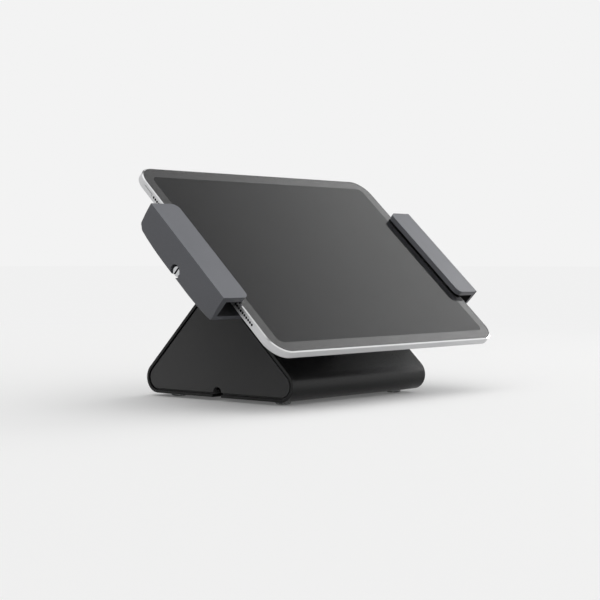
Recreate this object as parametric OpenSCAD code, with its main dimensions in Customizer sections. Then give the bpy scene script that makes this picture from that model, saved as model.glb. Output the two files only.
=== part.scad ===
// Tablet security kiosk stand: a triangular steel base carries two channel jaws that grip a tablet.
// Millimetres. The origin is the centre of the counter-bolt holes, on the underside of the base.
// +X is to the right, +Y to the rear and +Z up. The tablet faces -Y and up.

/* [Base] */
// Width of the base between its two ends
base_w = 150; // [140:1:160]
// Depth of the base over its rounded front and rear corners
base_d = 140; // [134:1:150]
// Outer radius of the three corners of the base
corner_r = 11; // [9:0.5:13]
// Slope of the front face from level, which is also the tilt of the tablet
front_angle = 43; // [41:0.5:45]
// Slope of the rear face from level
rear_angle = 45; // [43:0.5:47]
// Thickness of the base's steel sheet
shell_t = 2; // [1.8:0.1:2.4]
// Height of the clear feet
foot_h = 2.5; // [2:0.1:4]
// Width of the shadow groove round the end caps
cap_groove = 1.3; // [0.8:0.1:1.6]
// Width of the cord notch in the left end
notch_w = 8; // [7:0.5:10]
// Height of the cord notch above the underside
notch_h = 7.3; // [6.5:0.1:9]
// Thickness of the steel ballast plate
ballast_t = 6; // [4:0.5:8]
// Spacing of the counter-bolt holes along Y
counter_span_y = 60; // [50:1:66]

/* [Head] */
// Distance from the base's front face to the front of the glass
standoff = 36.4; // [35:0.2:40]
// Distance of the head's centre below the top of the flat front face
head_drop = 6.3; // [5.5:0.1:8]
// Height of the carrier tray up the slope
tray_h = 76; // [75:1:84]
// Width of the pedestal between base and tray
pedestal_w = 76; // [72:1:84]

/* [Jaws] */
// Length of both jaws up the slope
jaw_len = 89; // [84:1:96]
// Width of the front face of both jaws
lip_w = 23.8; // [22.5:0.1:26]
// Thickness of the front lip
lip_t = 3.9; // [3:0.1:5]
// Space between the glass and the lip
lip_gap = 0.85; // [0.7:0.05:1.2]
// How far a lip reaches over a centred tablet
lip_overlap = 6.15; // [4.5:0.05:7]
// Radius of the lip's inner corners
lip_corner = 5; // [3:0.5:7]
// Thickness of the left jaw's outer wall, which takes the screw
wall_left = 5; // [4.5:0.1:5.5]
// Thickness of the right jaw's outer wall
wall_right = 3; // [2.5:0.1:4]
// Lean of the outer walls towards the back
wall_lean = 6; // [2:0.5:7]
// Outward travel of the left jaw
jaw_travel = 34; // [20:1:35]

/* [Screw and rods] */
// Diameter of the two guide rods
rod_d = 6; // [5:0.1:6]
// Distance between the two guide rods
rod_span = 44; // [42:0.5:46]
// Diameter of the lead screw
screw_d = 4; // [3.6:0.1:4]
// Diameter of the lead screw's head
screw_head_d = 7.8; // [7:0.1:8]

/* [Tablet] */
// Length of the tablet
tablet_w = 248.6; // [244:0.2:254]
// Width of the tablet
tablet_h = 178.5; // [172:0.5:184]
// Thickness of the tablet
tablet_t = 5.9; // [5.6:0.1:6]
// Radius of the tablet's corners
tablet_r = 15; // [12:0.5:18]
// Width of the black border round the display
bezel = 9.3; // [8:0.1:10]
// Sideways place of the tablet between the jaws
tablet_shift = 0.35; // [-1.5:0.05:0.5]

/* [Fits] */
// Space between two pieces that are fixed to each other
seat = 0.02; // [0.02:0.01:0.05]
// Radial clearance of a rod or screw that runs in its bore
run_fit = 0.05; // [0.03:0.01:0.1]
// Space between the tablet and what it slides past
slip = 0.2; // [0.1:0.05:0.3]

/* [Hidden] */
$fn = 64;
m3 = 1.5;
m3_head = 2.8;
m3_sink = 1.6;

front_y = base_d / 2 - corner_r;
front_len = 2 * front_y * sin(rear_angle) / sin(front_angle + rear_angle);
apex_y = -front_y + front_len * cos(front_angle);
apex_z = corner_r + front_len * sin(front_angle);
slope_at = front_len - head_drop;
head_y = -front_y + slope_at * cos(front_angle) - (corner_r + standoff) * sin(front_angle);
head_z = corner_r + slope_at * sin(front_angle) + (corner_r + standoff) * cos(front_angle);

cap_inset = 0.4;
cap_depth = 10;
cap_skin = 3;
tie_z = 30;
foot_r = 5.5;
foot_x = base_w / 2 - 13;
foot_y = front_y - 9;
counter_x = base_w / 2 - 20;
counter_y = counter_span_y / 2;
counter_r = 2.75;
ballast_x = base_w / 2 - 13;
ballast_y = front_y - 14;
ballast_top = shell_t + seat + ballast_t;
ballast_hole_x = counter_x - 20;
ballast_hole_y = counter_y - 10;

axis_n = -12.4;
screw_n = -13.9;
collar_r = 2.9;
collar_l = 4;
collar_gap = 0.3;
collar_n = -17;
screw_hole_r = 5;
jaw_back = -18;
pocket_n = -16.2;
plate_n = -11.6;
jaw_in = tablet_w / 2 - lip_overlap;
jaw_out = jaw_in + lip_w;
lip_top = lip_gap + lip_t;
plate_in = jaw_in - 18;
heel_r = 4.5;
block_out = jaw_out - wall_left - 4;
block_in = block_out - 14;
head_out = jaw_out - 4.3;

tray_x = plate_in - 2;
tray_y = tray_h / 2;
tray_back = -18.6;
tray_front = -7.8;
tray_wall = 2.4;
cover_front = -6.8;
post_y = tray_y - 6.5;
bearing_out = tray_x - tray_wall - 0.1;
bearing_in = bearing_out - 18;
steady_out = tray_x - 38;
steady_in = steady_out - 10;
rod_v = rod_span / 2;
rod_r = rod_d / 2;
rod_end = steady_in - jaw_travel - 3;
screw_r = screw_d / 2;
screw_end = bearing_in - jaw_travel - 4;
arm_out = jaw_out - wall_right - 5;
arm_in = tray_x - 30;
arm_v = 20;
arm_bolt_v = arm_v - 8;
arm_slip = 0.1;
block_bolt_v = rod_v - 8;
block_v = rod_v + 4.5;
block_front = tray_front - 0.1;
nut_v = 7;
nut_pocket = 7;
slider_v = rod_v + 8;
slider_front = -8.2;

face_n = -standoff;
inner_n = face_n - shell_t;
backing_t = 4;
ped_low = -38;
ped_high = 4;
ped_bolt_x = pedestal_w / 2 - 10;
ped_bolt_v = [ped_low + 6, ped_high - 6];
tray_bolt_x = ped_bolt_x - 12;
tray_bolt_v = [ped_low + 8, ped_high - 10];
grommet_x = base_w / 2 - 19;
grommet_v = -20;
grommet_r = 6;
cord_r = 4;

buffer_len = 20;
buffer_v = 10;
buffer_gap = 0.3;
buffer_top = -0.4;
buffer_low = 0.4 - tablet_t;

tablet_drop = 0.5;
edge_l = tablet_shift - tablet_w / 2;
edge_r = tablet_shift + tablet_w / 2;
rim = 0.9;
glass_t = 0.8;
chamfer = 0.5;
heel = 1;
mask_n = -1.8;
floor_n = -tablet_t + 1;
ledge = 3.5;
screen_w = tablet_w - 2 * bezel;
screen_h = tablet_h - 2 * bezel;
screen_r = 5;
screen_n = -2.6;
inner_gap = 3;
board_w = 18;
board_l = tablet_h - 40;
chip = 12;
chip_pitch = board_l / 4.6;
speaker_w = 12;
speaker_l = 25;
speaker_x = tablet_w / 2 - ledge - 0.1 - speaker_w / 2;
speaker_v = tablet_h / 2 - 39.05;
hole_r = 0.6;
hole_n = -2.9;
hole_pitch = 2.17;
hole_count = 11;
lens_r = 6;
lens_in = 17;
lens_x = lens_in - tablet_w / 2;
lens_v = tablet_h / 2 - lens_in;
eye_r = 1.6;
eye_x = 5.5 - tablet_w / 2;
cell_in = board_w / 2 + inner_gap;
cell_out = speaker_x - speaker_w / 2 - inner_gap;
cell_l = 2 * (lens_v - lens_r - inner_gap);
button_n = -2.9;
button_l = 10;
button_low = button_n - 1;
button_high = button_n + 0.6;
button_slit = 0.15;
slot_l = button_l + 2 * button_slit;
button_deep = 3;
button_proud = 0.3;
power_v = tablet_h / 2 - 20.85;
volume_first = 32.8 - tablet_w / 2;
volume_step = 13;
volume_x = [volume_first, volume_first + volume_step];
port_w = 9;
port_low = -4.45;
port_high = -2.25;
port_wall = 0.4;
port_slit = 0.05;

// The head's own frame: X along the tablet, Y up the slope, Z out of the glass
module head() {
    translate([0, head_y, head_z])
        rotate([front_angle, 0, 0])
            children();
}

// The tablet's place in the head
module in_jaws() {
    head()
        translate([tablet_shift, -tablet_drop, 0])
            children();
}

// A box between two corners
module box(low, high) {
    translate(low)
        cube(high - low);
}

// A round bar along X
module bar_x(x0, x1, y, z, r) {
    translate([x0, y, z])
        rotate([0, 90, 0])
            cylinder(h = x1 - x0, r = r);
}

// A round bar along Z
module bar_z(x, y, z0, z1, r) {
    translate([x, y, z0])
        cylinder(h = z1 - z0, r = r);
}

// A countersunk screw that enters along +Z, with its flat head at z
module csk_screw(x, y, z, length, grow = 0) {
    translate([x, y, z])
        cylinder(h = m3_sink + grow, r1 = m3_head + grow, r2 = m3 + grow);
    bar_z(x, y, z, z + length, m3 + grow);
}

// The hole for a countersunk screw, open below its head
module csk_hole(x, y, z, length) {
    csk_screw(x, y, z, length, seat);
    bar_z(x, y, z - 1, z + seat, m3_head + seat);
}

// A flat rectangle with round corners
module round_rect(w, h, r) {
    square([w - 2 * r, h], center = true);
    square([w, h - 2 * r], center = true);
    for (x = [-1, 1], y = [-1, 1])
        translate([x * (w / 2 - r), y * (h / 2 - r)])
            circle(r);
}

// A plate with round corners between two heights
module round_plate(w, h, r, z0, z1) {
    translate([0, 0, z0])
        linear_extrude(z1 - z0)
            round_rect(w, h, r);
}

// The base's section, drawn a distance inside its outer face
module base_section(inset) {
    r = corner_r - inset;
    fs = sin(front_angle);
    fc = cos(front_angle);
    rs = sin(rear_angle);
    rc = cos(rear_angle);
    polygon([[-front_y, inset], [front_y, inset],
             [front_y + r * rs, corner_r + r * rc], [apex_y + r * rs, apex_z + r * rc],
             [apex_y - r * fs, apex_z + r * fc], [-front_y - r * fs, corner_r + r * fc]]);
    translate([-front_y, corner_r])
        circle(r);
    translate([front_y, corner_r])
        circle(r);
    translate([apex_y, apex_z])
        circle(r);
}

// A length of that section along X
module base_prism(inset, x0, x1) {
    translate([x0, 0, 0])
        rotate([90, 0, 90])
            linear_extrude(x1 - x0)
                base_section(inset);
}

// The cord notch through the left end
module cord_notch() {
    x0 = -base_w / 2 - 1;
    x1 = -base_w / 2 + cap_inset + cap_depth + 1;
    top = notch_h - notch_w / 2;
    bar_x(x0, x1, 0, top, notch_w / 2);
    box([x0, -notch_w / 2, -1], [x1, notch_w / 2, top]);
}

// Places of the four bolts that hold the pedestal, and of the four that hold the tray
function ped_bolts() = [for (x = [-ped_bolt_x, ped_bolt_x], v = ped_bolt_v) [x, v]];
function tray_bolts() = [for (x = [-tray_bolt_x, tray_bolt_x], v = tray_bolt_v) [x, v]];
function ballast_spots() = [for (x = [-ballast_hole_x, ballast_hole_x], y = [-1, 1])
                                [x, y * ballast_hole_y]];
function counter_spots() = [for (x = [-counter_x, counter_x], y = [-counter_y, counter_y]) [x, y]];
function post_spots() = [for (x = [-tray_x + 6, 0, tray_x - 6], v = [-post_y, post_y]) [x, v]];

// Bent sheet: front, top bend and rear, down to where the two lower bends turn level
module base_shell() {
    color([0.09, 0.09, 0.095])
        difference() {
            base_prism(0, -base_w / 2, base_w / 2);
            base_prism(shell_t, -base_w / 2 - 1, base_w / 2 + 1);
            box([-base_w, -front_y, -1], [base_w, front_y, shell_t + 1]);
            head() {
                for (p = ped_bolts())
                    bar_z(p[0], p[1], inner_n - 1, face_n + 1, 2.75);
                bar_z(grommet_x, grommet_v, inner_n - 1, face_n + 1, grommet_r);
            }
        }
}

// Flat sheet welded between the two lower bends
module base_floor() {
    color([0.09, 0.09, 0.095])
        difference() {
            box([-base_w / 2, seat - front_y, 0], [base_w / 2, front_y - seat, shell_t]);
            cord_notch();
            for (p = counter_spots())
                bar_z(p[0], p[1], -1, shell_t + 1, counter_r);
            for (p = ballast_spots())
                csk_hole(p[0], p[1], 0, shell_t + 1);
        }
}

// One end cap at the left end: a cup whose face stands inside the shadow groove
module cap_body() {
    x0 = -base_w / 2 + cap_inset;
    difference() {
        union() {
            base_prism(shell_t + cap_groove, x0, x0 + cap_skin);
            base_prism(shell_t + 0.1, x0 + 1.5, x0 + cap_depth);
        }
        base_prism(shell_t + 3, x0 + cap_skin, x0 + cap_depth + 1);
    }
    bar_x(x0 + cap_skin - 0.5, x0 + cap_depth, 0, tie_z, 6);
}

module end_cap_left() {
    color([0.2, 0.2, 0.2])
        difference() {
            cap_body();
            cord_notch();
            bar_x(-base_w / 2 + cap_inset + cap_skin, 0, 0, tie_z, 2.5 + seat);
        }
}

module end_cap_right() {
    x1 = base_w / 2 - cap_inset;
    color([0.2, 0.2, 0.2])
        difference() {
            mirror([1, 0, 0])
                cap_body();
            bar_x(0, x1 + 1, 0, tie_z, 2.5 + seat);
            bar_x(x1 - 2, x1 + 1, 0, tie_z, 4.6 + seat);
        }
}

module tie_rod() {
    x1 = base_w / 2 - cap_inset;
    color([0.55, 0.56, 0.58])
        difference() {
            union() {
                bar_x(-base_w / 2 + cap_inset + cap_skin + 0.5, x1 - 1, 0, tie_z, 2.5);
                bar_x(x1 - 2 + seat, x1, 0, tie_z, 4.6);
            }
            translate([x1 - 1.4, 0, tie_z])
                rotate([0, 90, 0])
                    cylinder(h = 2, r = 2, $fn = 6);
        }
}

module ballast_plate() {
    color([0.42, 0.42, 0.44])
        difference() {
            round_plate(2 * ballast_x, 2 * ballast_y, 8, shell_t + seat, ballast_top);
            for (p = counter_spots())
                bar_z(p[0], p[1], 0, ballast_top + 1, counter_r + 0.5);
            for (p = ballast_spots())
                bar_z(p[0], p[1], 0, shell_t + ballast_t - 1, m3 + seat);
        }
}

module ballast_screws() {
    color([0.62, 0.63, 0.65])
        for (p = ballast_spots())
            csk_screw(p[0], p[1], 0, shell_t + ballast_t - 1.5);
}

module rubber_feet() {
    color([0.8, 0.81, 0.82])
        for (x = [-foot_x, foot_x], y = [-foot_y, foot_y])
            translate([x, y, -foot_h]) {
                cylinder(h = foot_h / 2, r1 = foot_r - 1.2, r2 = foot_r);
                translate([0, 0, foot_h / 2])
                    cylinder(h = foot_h / 2, r = foot_r);
            }
}

module cable_grommet() {
    color([0.05, 0.05, 0.05])
        head()
            difference() {
                union() {
                    bar_z(grommet_x, grommet_v, inner_n - 1.5, face_n + 1.5, grommet_r - seat);
                    bar_z(grommet_x, grommet_v, inner_n - 1.5, inner_n - seat, grommet_r + 1.5);
                    bar_z(grommet_x, grommet_v, face_n + seat, face_n + 1.5, grommet_r + 1.5);
                }
                bar_z(grommet_x, grommet_v, inner_n - 3, face_n + 3, cord_r);
            }
}

module backing_plate() {
    color([0.45, 0.45, 0.47])
        head()
            difference() {
                box([-ped_bolt_x - 9, ped_low - 2, inner_n - backing_t],
                    [ped_bolt_x + 9, 3, inner_n - seat]);
                for (p = ped_bolts())
                    bar_z(p[0], p[1], inner_n - backing_t - 1, inner_n + 1, 2.75);
            }
}

module pedestal() {
    color([0.14, 0.14, 0.15])
        head()
            difference() {
                translate([0, (ped_low + ped_high) / 2, 0])
                    round_plate(pedestal_w, ped_high - ped_low, 6, face_n + seat, tray_back - seat);
                for (p = ped_bolts())
                    bar_z(p[0], p[1], face_n - 1, face_n + 11, 2.5 + seat);
                for (p = tray_bolts())
                    bar_z(p[0], p[1], tray_back - 10, tray_back + 1, m3 + seat);
            }
}

module pedestal_bolts() {
    low = inner_n - backing_t - seat;
    color([0.3, 0.3, 0.31])
        head()
            for (p = ped_bolts())
                difference() {
                    union() {
                        bar_z(p[0], p[1], low - 1, face_n + 10, 2.5);
                        bar_z(p[0], p[1], low - 5, low, 4.25);
                    }
                    translate([p[0], p[1], low - 6])
                        cylinder(h = 3.5, r = 2.3, $fn = 6);
                }
}

module carrier_tray() {
    floor_z = pocket_n;
    color([0.13, 0.13, 0.14])
        head()
            difference() {
                union() {
                    difference() {
                        round_plate(2 * tray_x, tray_h, 5, tray_back, tray_front);
                        round_plate(2 * (tray_x - tray_wall), tray_h - 2 * tray_wall, 2.6, floor_z, 0);
                    }
                    for (p = post_spots())
                        bar_z(p[0], p[1], floor_z - 0.5, tray_front, 3.2);
                }
                for (p = post_spots())
                    bar_z(p[0], p[1], tray_front - 6, 0, 1.25 + seat);
                for (v = [-rod_v, rod_v])
                    bar_x(-tray_x - 1, -tray_x + tray_wall + 1, v, axis_n, rod_r + 0.4);
                bar_x(-tray_x - 1, -tray_x + tray_wall + 1, 0, screw_n, screw_r + 1);
                box([tray_x - tray_wall - 1, -arm_v - 3 * arm_slip, floor_z],
                    [tray_x + 1, arm_v + 3 * arm_slip, plate_n]);
                for (p = tray_bolts())
                    translate([0, 0, floor_z])
                        mirror([0, 0, 1])
                            csk_hole(p[0], p[1], 0, 4);
                for (p = arm_spots_tray())
                    csk_hole(p[0], p[1], tray_back, 4);
                for (p = block_spots())
                    csk_hole(p[0], p[1], tray_back, 4);
            }
}

// Places of the screws in the two bearing blocks and in the fixed arm
function block_spots() = [for (x = [11 - bearing_out, 5 - steady_out], v = [-block_bolt_v, block_bolt_v])
                              [x, v]];
function arm_spots_tray() = [for (x = [tray_x - 22, tray_x - 9], v = [-1, 1]) [x, v * arm_bolt_v]];
function arm_spots_jaw() = [for (x = [plate_in + 8, plate_in + 24], v = [-1, 1]) [x, v * arm_bolt_v]];
function slider_spots() = [for (x = [-block_out + 3.5, -block_in - 3.5], v = [-1, 1]) [x, v * rod_v / 2]];

module carrier_bolts() {
    color([0.62, 0.63, 0.65])
        head()
            for (p = tray_bolts())
                translate([0, 0, pocket_n])
                    mirror([0, 0, 1])
                        csk_screw(p[0], p[1], 0, 9);
}

module carrier_cover() {
    color([0.13, 0.13, 0.14])
        head()
            difference() {
                round_plate(2 * tray_x, tray_h, 5, tray_front + seat, cover_front);
                for (p = post_spots())
                    bar_z(p[0], p[1], tray_front - 1, 0, 1.25 + seat);
                for (p = post_spots())
                    bar_z(p[0], p[1], cover_front - 0.5, 0, 2.4 + seat);
            }
}

module cover_screws() {
    color([0.62, 0.63, 0.65])
        head()
            for (p = post_spots()) {
                bar_z(p[0], p[1], tray_front - 5.5, cover_front - 0.1, 1.25);
                bar_z(p[0], p[1], cover_front - 0.5 + seat, cover_front, 2.4);
            }
}

module rest_pads() {
    color([0.06, 0.06, 0.06])
        head()
            for (x = [-1, 1], v = [-1, 1])
                translate([x * (tray_x - 30), v * (tray_y - 16), 0])
                    round_plate(30, 12, 3, cover_front + seat, -tablet_t - slip / 2);
}

module guide_block_outer() {
    color([0.86, 0.86, 0.84])
        head()
            difference() {
                box([-bearing_out, -block_v, pocket_n + seat], [-bearing_in, block_v, block_front]);
                for (v = [-rod_v, rod_v])
                    bar_x(-bearing_out - 1, -bearing_in + 1, v, axis_n, rod_r + run_fit);
                bar_x(-bearing_out - 1, -bearing_in + 1, 0, screw_n, screw_r + 1);
                box([-bearing_out + nut_pocket, -nut_v - seat, pocket_n - 1],
                    [-bearing_in + 1, nut_v + seat, 0]);
                for (p = block_spots())
                    bar_z(p[0], p[1], pocket_n - 1, pocket_n + 6, m3 + seat);
            }
}

module guide_block_inner() {
    color([0.86, 0.86, 0.84])
        head()
            difference() {
                box([-steady_out, -block_v, pocket_n + seat], [-steady_in, block_v, block_front]);
                for (v = [-rod_v, rod_v])
                    bar_x(-steady_out - 1, -steady_in + 1, v, axis_n, rod_r + run_fit);
                bar_x(-steady_out - 1, -steady_in + 1, 0, screw_n, screw_r + 1);
                for (p = block_spots())
                    bar_z(p[0], p[1], pocket_n - 1, pocket_n + 6, m3 + seat);
            }
}

module block_screws() {
    color([0.62, 0.63, 0.65])
        head()
            for (p = block_spots())
                csk_screw(p[0], p[1], tray_back, 7.5);
}

module lead_nut() {
    color([0.72, 0.58, 0.3])
        head()
            difference() {
                box([-bearing_out + nut_pocket + seat, -nut_v, pocket_n + seat],
                    [-bearing_in - 1, nut_v, block_front]);
                bar_x(-bearing_out, -bearing_in, 0, screw_n, screw_r + run_fit);
            }
}

module fixed_arm() {
    color([0.45, 0.45, 0.47])
        head()
            difference() {
                box([arm_in, -arm_v, pocket_n + seat], [arm_out, arm_v, plate_n - 2 * arm_slip]);
                for (p = concat(arm_spots_tray(), arm_spots_jaw()))
                    bar_z(p[0], p[1], pocket_n - 1, 0, m3 + seat);
            }
}

module arm_screws() {
    color([0.62, 0.63, 0.65])
        head() {
            for (p = arm_spots_tray())
                csk_screw(p[0], p[1], tray_back, 6);
            for (p = arm_spots_jaw())
                csk_screw(p[0], p[1], jaw_back, 5.4);
        }
}

// Section of a jaw at the right side: lip in front, leaning outer wall, thick plate at the back
module jaw_section(wall) {
    foot = jaw_out - (lip_top - jaw_back) * tan(wall_lean);
    cz = jaw_back + heel_r;
    cx = jaw_out - (lip_top - cz) * tan(wall_lean) - heel_r / cos(wall_lean);
    difference() {
        polygon([[jaw_in, lip_gap], [jaw_in, lip_top], [jaw_out, lip_top], [foot, jaw_back],
                 [plate_in, jaw_back], [plate_in, plate_n], [jaw_out - wall, plate_n],
                 [jaw_out - wall, lip_gap]]);
        difference() {
            polygon([[cx, cz], [cx, jaw_back - 1], [foot + 1, jaw_back - 1],
                     [cx + 2 * heel_r * cos(wall_lean), cz - 2 * heel_r * sin(wall_lean)]]);
            translate([cx, cz])
                circle(heel_r);
        }
    }
}

// A jaw at the right side with the corners of its lip rounded
module jaw_body(wall) {
    difference() {
        translate([0, jaw_len / 2, 0])
            rotate([90, 0, 0])
                linear_extrude(jaw_len)
                    jaw_section(wall);
        for (s = [0, 1])
            mirror([0, s, 0])
                difference() {
                    box([jaw_in - 1, jaw_len / 2 - lip_corner, lip_gap - 1],
                        [jaw_in + lip_corner, jaw_len / 2 + 1, lip_top + 1]);
                    bar_z(jaw_in + lip_corner, jaw_len / 2 - lip_corner, -5, 12, lip_corner);
                }
    }
}

module jaw_right() {
    color([0.3, 0.31, 0.33])
        head()
            difference() {
                jaw_body(wall_right);
                box([plate_in - 1, -arm_v - arm_slip, pocket_n],
                    [arm_out + arm_slip, arm_v + arm_slip, 0]);
                for (p = arm_spots_jaw())
                    csk_hole(p[0], p[1], jaw_back, 4);
            }
}

module lip_pad_right() {
    color([0.03, 0.03, 0.03])
        head()
            box([jaw_in + 0.6, 6 - jaw_len / 2, slip], [jaw_in + 6, jaw_len / 2 - 6, lip_gap - seat]);
}

module buffer_right() {
    color([0.05, 0.05, 0.055])
        head()
            for (v = [-buffer_v - buffer_len, buffer_v])
                box([edge_r + buffer_gap, v, buffer_low],
                    [jaw_out - wall_right - seat, v + buffer_len, buffer_top]);
}

module jaw_left() {
    color([0.3, 0.31, 0.33])
        head()
            difference() {
                mirror([1, 0, 0])
                    jaw_body(wall_left);
                box([-block_out - arm_slip, -slider_v - arm_slip, pocket_n],
                    [-block_in + arm_slip, slider_v + arm_slip, plate_n + 1]);
                box([-block_in, -screw_r - 2, pocket_n], [1 - plate_in, screw_r + 2, plate_n + 1]);
                box([-block_in, -collar_r - slip, collar_n],
                    [collar_l + 1 - block_in, collar_r + slip, plate_n]);
                for (v = [-rod_v, rod_v])
                    box([-block_in, v - rod_r - 0.4, pocket_n],
                        [1 - plate_in, v + rod_r + 0.4, plate_n + 1]);
                bar_x(-jaw_out - 1, -block_out, 0, screw_n, screw_hole_r);
                for (p = slider_spots())
                    csk_hole(p[0], p[1], jaw_back, 4);
            }
}

module slider_block() {
    color([0.55, 0.56, 0.58])
        head()
            difference() {
                box([-block_out, -slider_v, pocket_n + seat], [-block_in, slider_v, slider_front]);
                for (v = [-rod_v, rod_v])
                    bar_x(-block_out + 2, -block_in + 1, v, axis_n, rod_r + seat);
                bar_x(-block_out - 1, -block_in + 1, 0, screw_n, screw_r + run_fit);
                for (p = slider_spots())
                    bar_z(p[0], p[1], pocket_n - 1, pocket_n + 5, m3 + seat);
            }
}

module slider_screws() {
    color([0.62, 0.63, 0.65])
        head()
            for (p = slider_spots())
                csk_screw(p[0], p[1], jaw_back, 6);
}

module guide_rods() {
    color([0.7, 0.71, 0.73])
        head()
            for (v = [-rod_v, rod_v])
                bar_x(-block_out + 2 + seat, -rod_end, v, axis_n, rod_r);
}

module lip_pad_left() {
    color([0.03, 0.03, 0.03])
        head()
            box([-jaw_in - 6, 6 - jaw_len / 2, slip], [-jaw_in - 0.6, jaw_len / 2 - 6, lip_gap - seat]);
}

module buffer_left() {
    color([0.05, 0.05, 0.055])
        head()
            for (v = [-buffer_v - buffer_len, buffer_v])
                box([wall_left - jaw_out + seat, v, buffer_low],
                    [edge_l - buffer_gap, v + buffer_len, buffer_top]);
}

module lead_screw() {
    color([0.74, 0.75, 0.77])
        head()
            difference() {
                union() {
                    bar_x(-head_out, -block_out - collar_gap, 0, screw_n, screw_head_d / 2);
                    bar_x(-block_out - 1, -screw_end, 0, screw_n, screw_r);
                }
                box([-head_out - 1, -0.7, screw_n - 6], [-head_out + 1.6, 0.7, screw_n + 6]);
            }
}

module screw_collar() {
    color([0.5, 0.5, 0.52])
        head()
            difference() {
                bar_x(collar_gap - block_in, collar_gap + collar_l - block_in, 0, screw_n, collar_r);
                bar_x(-block_in, collar_l + 1 - block_in, 0, screw_n, screw_r + seat);
            }
}

// A plate with round corners whose front and back edges are bevelled
module bevel_plate(w, h, r, z0, z1, back, front) {
    for (turn = [0, 1]) {
        half = turn == 0 ? w / 2 : h / 2;
        run = turn == 0 ? h - 2 * r : w - 2 * r;
        rotate([0, 0, turn * 90])
            translate([0, run / 2, 0])
                rotate([90, 0, 0])
                    linear_extrude(run)
                        polygon([[back - half, z0], [half - back, z0],
                                 [half, z0 + back], [half, z1 - front],
                                 [half - front, z1], [front - half, z1],
                                 [-half, z1 - front], [-half, z0 + back]]);
    }
    for (x = [-1, 1], y = [-1, 1])
        translate([x * (w / 2 - r), y * (h / 2 - r), z0]) {
            cylinder(h = back, r1 = r - back, r2 = r);
            translate([0, 0, back])
                cylinder(h = z1 - z0 - back - front, r = r);
            translate([0, 0, z1 - z0 - front])
                cylinder(h = front, r1 = r, r2 = r - front);
        }
}

module tablet_shell() {
    color([0.78, 0.79, 0.8])
        in_jaws()
            difference() {
                bevel_plate(tablet_w, tablet_h, tablet_r, -tablet_t, 0, heel, chamfer);
                round_plate(tablet_w - 2 * rim, tablet_h - 2 * rim, tablet_r - rim, mask_n - seat, 1);
                round_plate(tablet_w - 2 * ledge, tablet_h - 2 * ledge, tablet_r - ledge, floor_n, 0);
                for (s = [-1, 1], t = [-1, 1], i = [0:hole_count - 1])
                    bar_x(s * tablet_w / 2 - 5, s * tablet_w / 2 + 5,
                          t * speaker_v + (i - (hole_count - 1) / 2) * hole_pitch, hole_n, hole_r);
                box([-tablet_w / 2 - 1, power_v - slot_l / 2, button_low - button_slit],
                    [-tablet_w / 2 + ledge + 1, power_v + slot_l / 2, button_high + button_slit]);
                for (x = volume_x)
                    box([x - slot_l / 2, tablet_h / 2 - ledge - 1, button_low - button_slit],
                        [x + slot_l / 2, tablet_h / 2 + 1, button_high + button_slit]);
                box([tablet_w / 2 - ledge - 1, -port_w / 2 - port_slit, port_low - port_slit],
                    [tablet_w / 2 + 1, port_w / 2 + port_slit, port_high + port_slit]);
                bar_z(lens_x, lens_v, -tablet_t - 1, 0, lens_r + seat);
            }
}

module tablet_glass() {
    color([0.02, 0.02, 0.025])
        in_jaws()
            round_plate(tablet_w - 2 * rim - 0.1, tablet_h - 2 * rim - 0.1, tablet_r - rim, -glass_t, 0);
}

module tablet_bezel() {
    color([0.02, 0.02, 0.02])
        in_jaws()
            difference() {
                round_plate(tablet_w - 2 * rim - 0.1, tablet_h - 2 * rim - 0.1, tablet_r - rim,
                            mask_n, -glass_t - seat);
                round_plate(screen_w + 0.1, screen_h + 0.1, screen_r, -5, 0);
                bar_z(eye_x, 0, -5, 0, eye_r + seat);
            }
}

module tablet_display() {
    color([0.015, 0.015, 0.02])
        in_jaws()
            round_plate(screen_w, screen_h, screen_r, screen_n, -glass_t - seat);
}

module tablet_battery() {
    color([0.16, 0.16, 0.17])
        in_jaws()
            for (s = [-1, 1])
                translate([s * (cell_in + cell_out) / 2, 0, 0])
                    round_plate(cell_out - cell_in, cell_l, 2, floor_n + seat, screen_n - 0.3);
}

module tablet_board() {
    color([0.05, 0.2, 0.12])
        in_jaws() {
            box([-board_w / 2, -board_l / 2, floor_n + seat], [board_w / 2, board_l / 2, floor_n + 1]);
            for (i = [-1.5:1.5])
                box([-chip / 2, i * chip_pitch - chip / 2, floor_n + 0.9],
                    [chip / 2, i * chip_pitch + chip / 2, floor_n + 1.8]);
        }
}

module tablet_speakers() {
    color([0.1, 0.1, 0.1])
        in_jaws()
            for (s = [-1, 1], t = [-1, 1])
                translate([s * speaker_x, t * speaker_v, 0])
                    round_plate(speaker_w, speaker_l, 1.5, floor_n + seat, screen_n - 0.3);
}

module front_camera() {
    color([0.03, 0.03, 0.05])
        in_jaws()
            bar_z(eye_x, 0, -4, -glass_t - seat, eye_r);
}

module rear_camera() {
    color([0.12, 0.12, 0.13])
        in_jaws()
            bar_z(lens_x, lens_v, -tablet_t - 1.8, screen_n - 0.3, lens_r);
}

module charge_port() {
    color([0.5, 0.5, 0.52])
        in_jaws()
            difference() {
                box([tablet_w / 2 - ledge - 4, -port_w / 2, port_low],
                    [tablet_w / 2 - 0.3, port_w / 2, port_high]);
                box([tablet_w / 2 - ledge - 3, port_wall - port_w / 2, port_low + port_wall],
                    [tablet_w / 2, port_w / 2 - port_wall, port_high - port_wall]);
            }
}

module power_button() {
    color([0.76, 0.77, 0.78])
        in_jaws()
            box([-tablet_w / 2 - button_proud, power_v - button_l / 2, button_low],
                [-tablet_w / 2 + button_deep, power_v + button_l / 2, button_high]);
}

// One volume button in the upper long edge
module volume_button(x) {
    color([0.76, 0.77, 0.78])
        in_jaws()
            box([x - button_l / 2, tablet_h / 2 - button_deep, button_low],
                [x + button_l / 2, tablet_h / 2 + button_proud, button_high]);
}

module volume_up() {
    volume_button(volume_x[0]);
}

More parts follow.
